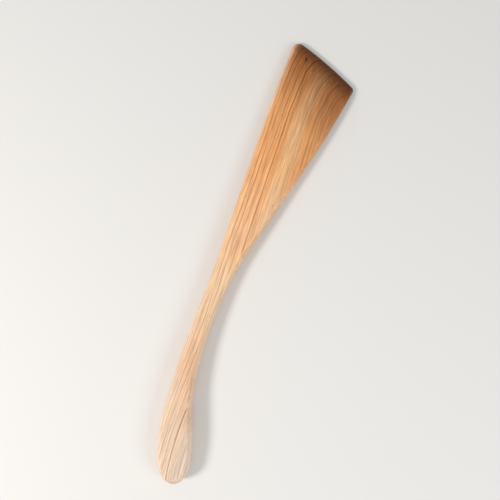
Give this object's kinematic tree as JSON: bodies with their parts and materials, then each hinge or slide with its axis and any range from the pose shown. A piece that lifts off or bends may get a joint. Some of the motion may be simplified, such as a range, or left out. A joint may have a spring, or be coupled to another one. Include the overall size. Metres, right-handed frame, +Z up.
{
  "type": "roux spoon",
  "caption": "Flat one-piece wooden roux spoon with a rounded, bent handle, a slim neck and a one-sided blade whose slanted, thinned end stirs and scrapes a pan.",
  "frame": {"origin": "middle of the underside of the spoon's box, on the plane of its flat back", "axes": "+Y along the grain from the butt to the blade, +X towards the blade's broad side, +Z up out of the flat back"},
  "size_m": [0.0582, 0.331, 0.016],
  "materials": {
    "oiled_wood": "sanded smooth and oiled, satin, with fine straight grain"
  },
  "bodies": {
    "root": {"carved_spoon": "oiled_wood"}
  },
  "joints": []
}
